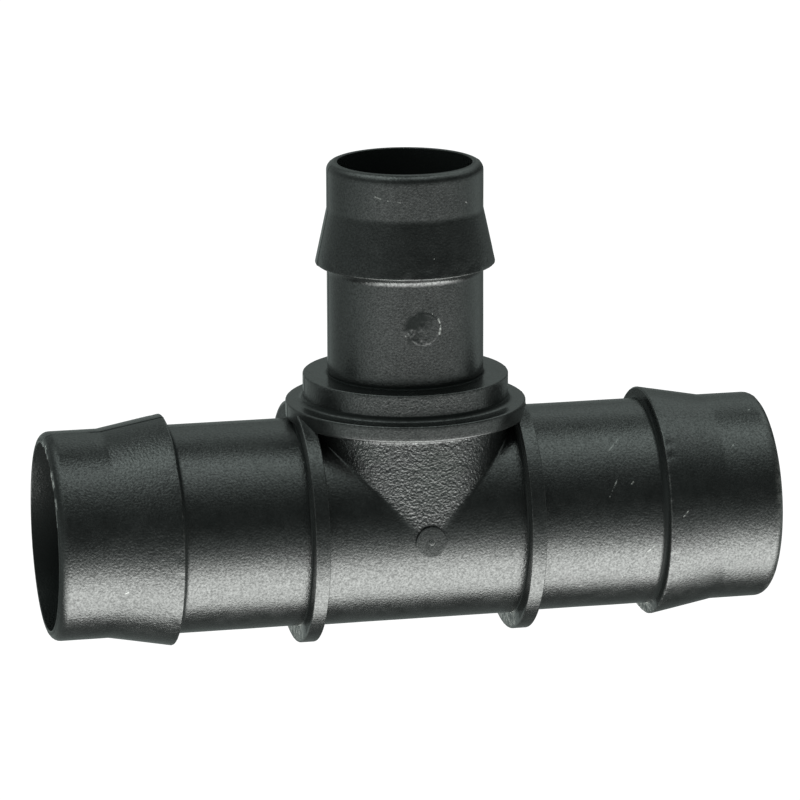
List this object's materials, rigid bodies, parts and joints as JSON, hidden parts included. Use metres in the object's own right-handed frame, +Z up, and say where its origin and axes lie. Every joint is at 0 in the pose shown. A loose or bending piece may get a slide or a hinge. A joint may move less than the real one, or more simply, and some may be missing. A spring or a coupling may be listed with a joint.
{
  "type": "barbed reducing tee",
  "caption": "Black moulded barbed tee for irrigation hose: a straight run with a barbed spigot each way and a smaller barbed branch, each with a stop collar.",
  "frame": {"origin": "where the axis of the run crosses the axis of the branch", "axes": "+X along the run, towards the right-hand barb; +Z up the branch; the gate pad faces -Y"},
  "size_m": [0.0894, 0.0296, 0.059],
  "materials": {
    "grained_plastic": "fine spark-eroded grain, semi-matt black",
    "satin_plastic": "smoother satin black"
  },
  "bodies": {
    "root": {"hub_body": "grained_plastic", "gate_pad": "satin_plastic", "left_stop_collar": "grained_plastic", "left_spigot": "grained_plastic", "left_barb": "grained_plastic", "right_stop_collar": "grained_plastic", "right_spigot": "grained_plastic", "right_barb": "grained_plastic", "branch_stop_collar": "satin_plastic", "branch_reducer_disc": "satin_plastic", "branch_spigot": "satin_plastic", "branch_barb": "satin_plastic"}
  },
  "joints": []
}
